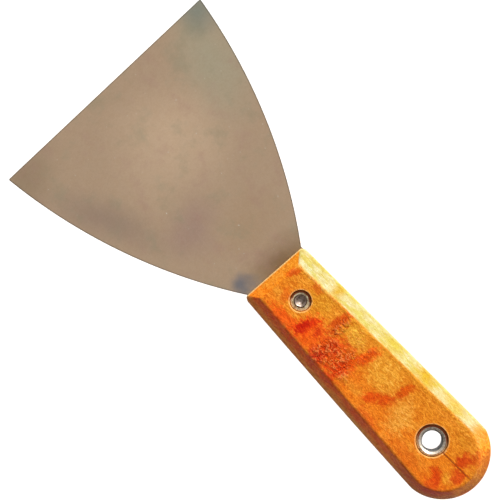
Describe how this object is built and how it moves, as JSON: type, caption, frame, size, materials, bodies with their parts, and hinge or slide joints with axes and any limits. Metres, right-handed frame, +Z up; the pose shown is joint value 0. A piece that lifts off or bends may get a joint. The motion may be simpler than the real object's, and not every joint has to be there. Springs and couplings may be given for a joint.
{
  "type": "putty knife",
  "caption": "Flexible putty knife: flared thin steel blade with a square working edge, a bevelled orange wooden handle in two scales, and a metal eyelet to hang it by.",
  "frame": {"origin": "middle of the bounding box's bottom face; the knife lies flat on its lower scale", "axes": "+Y from the handle to the working edge, +X to the right with the upper scale facing up, +Z up through the thickness"},
  "size_m": [0.1004, 0.2072, 0.0153],
  "materials": {
    "blade_steel": "ground spring steel with a brown-grey heat tint, satin",
    "handle_wood": "orange-stained and lacquered wood with red figure, satin",
    "rivet_steel": "nickel-plated steel, slightly tarnished",
    "washer_steel": "plated steel washer, dull"
  },
  "bodies": {
    "root": {"blade": "blade_steel", "upper_scale": "handle_wood", "lower_scale": "handle_wood", "front_rivet": "rivet_steel", "front_rivet_washer": "washer_steel", "rear_eyelet": "rivet_steel", "rear_eyelet_washer": "washer_steel"}
  },
  "joints": []
}
